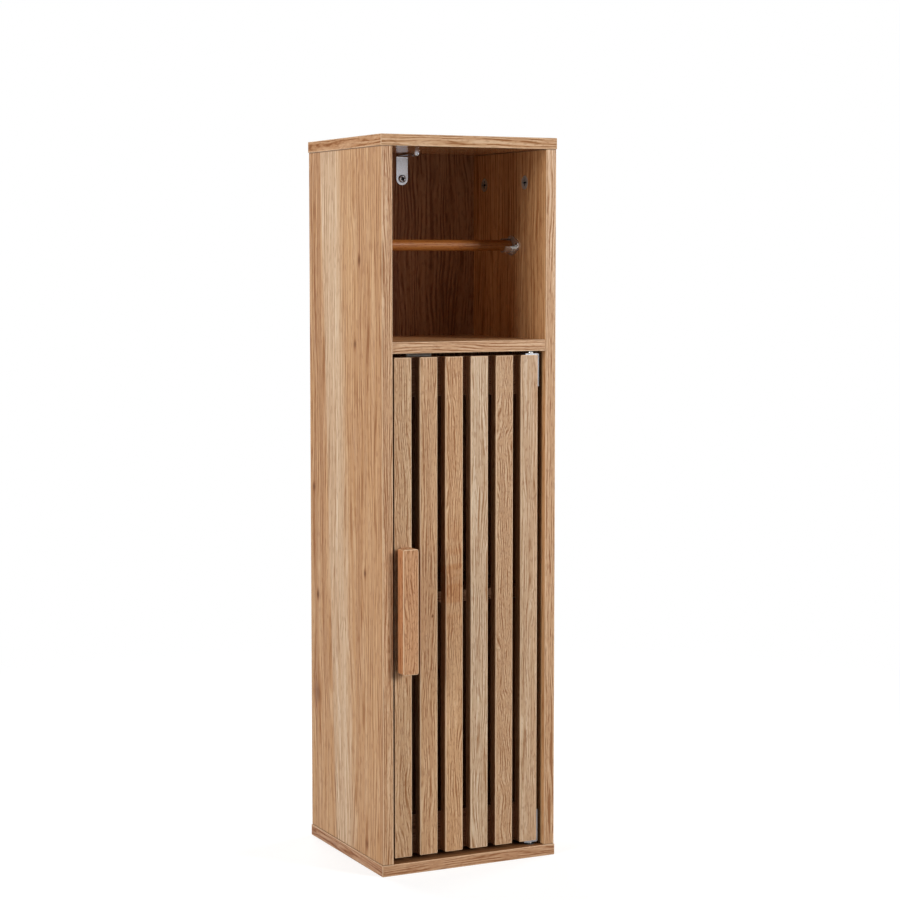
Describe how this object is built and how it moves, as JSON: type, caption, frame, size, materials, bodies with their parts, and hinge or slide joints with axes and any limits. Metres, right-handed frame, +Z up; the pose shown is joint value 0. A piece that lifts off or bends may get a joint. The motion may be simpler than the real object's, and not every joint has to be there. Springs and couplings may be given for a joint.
{
  "type": "narrow bathroom cabinet",
  "caption": "Tall narrow oak-effect cabinet: an open bay with a lift-out paper rod over a cupboard with a slatted, pivot-hung door and a bar handle.",
  "frame": {"origin": "middle of the bottom panel's underside, on the floor", "axes": "+Z up, -Y out of the door's front, +X to the right seen from the front"},
  "size_m": [0.207, 0.2078, 0.78],
  "materials": {
    "oak_board": "oak-effect board, satin",
    "oak_back": "thin oak-effect board, satin",
    "oak_slat": "oak-effect slat, satin",
    "oak_handle": "warm oak, satin",
    "bamboo_rod": "lacquered bamboo",
    "beech_dowel": "bare beech",
    "bright_chrome": "bright plated steel",
    "zinc_fitting": "zinc casting",
    "bright_steel": "zinc-plated steel",
    "white_nylon": "moulded nylon",
    "black_nylon": "moulded nylon",
    "black_ferrite": "ferrite"
  },
  "bodies": {
    "carcass": {"top_panel": "oak_board", "bottom_panel": "oak_board", "left_side_panel": "oak_board", "right_side_panel": "oak_board", "fixed_shelf": "oak_board", "inner_shelf": "oak_board", "back_panel": "oak_back", "wood_dowels": "beech_dowel", "wall_bracket": "bright_chrome", "left_rod_socket": "bright_chrome", "right_rod_socket": "bright_chrome", "cam_locks": "zinc_fitting", "cam_bolts": "zinc_fitting", "shelf_pins": "zinc_fitting", "bracket_screw": "bright_steel", "socket_screws": "bright_steel", "catch_screws": "bright_steel", "catch_pole_plates": "bright_steel", "catch_housing": "white_nylon", "upper_hinge_bush": "black_nylon", "lower_hinge_bush": "black_nylon", "catch_magnet": "black_ferrite"},
    "door": {"slat_1": "oak_slat", "slat_2": "oak_slat", "slat_3": "oak_slat", "slat_4": "oak_slat", "slat_5": "oak_slat", "slat_6": "oak_slat", "top_batten": "oak_slat", "bottom_batten": "oak_slat", "slat_screws": "bright_steel", "door_handle": "oak_handle", "handle_screws": "bright_steel", "upper_hinge_plate": "bright_chrome", "lower_hinge_plate": "bright_chrome", "upper_pivot_pin": "bright_steel", "lower_pivot_pin": "bright_steel", "hinge_plate_screws": "bright_steel", "strike_plate": "bright_steel", "strike_screws": "bright_steel"},
    "rod": {"roll_rod": "bamboo_rod"}
  },
  "joints": [
    {"name": "door_swing", "type": "hinge", "parent": "carcass", "child": "door", "pos_m": [0.079, -0.0845, 0.2825], "axis": [0, 0, 1], "range_deg": [0, 105]},
    {"name": "rod_lift_out", "type": "slide", "parent": "carcass", "child": "rod", "axis": [0, -0.7071, 0.7071], "range_m": [0, 0.15]}
  ]
}
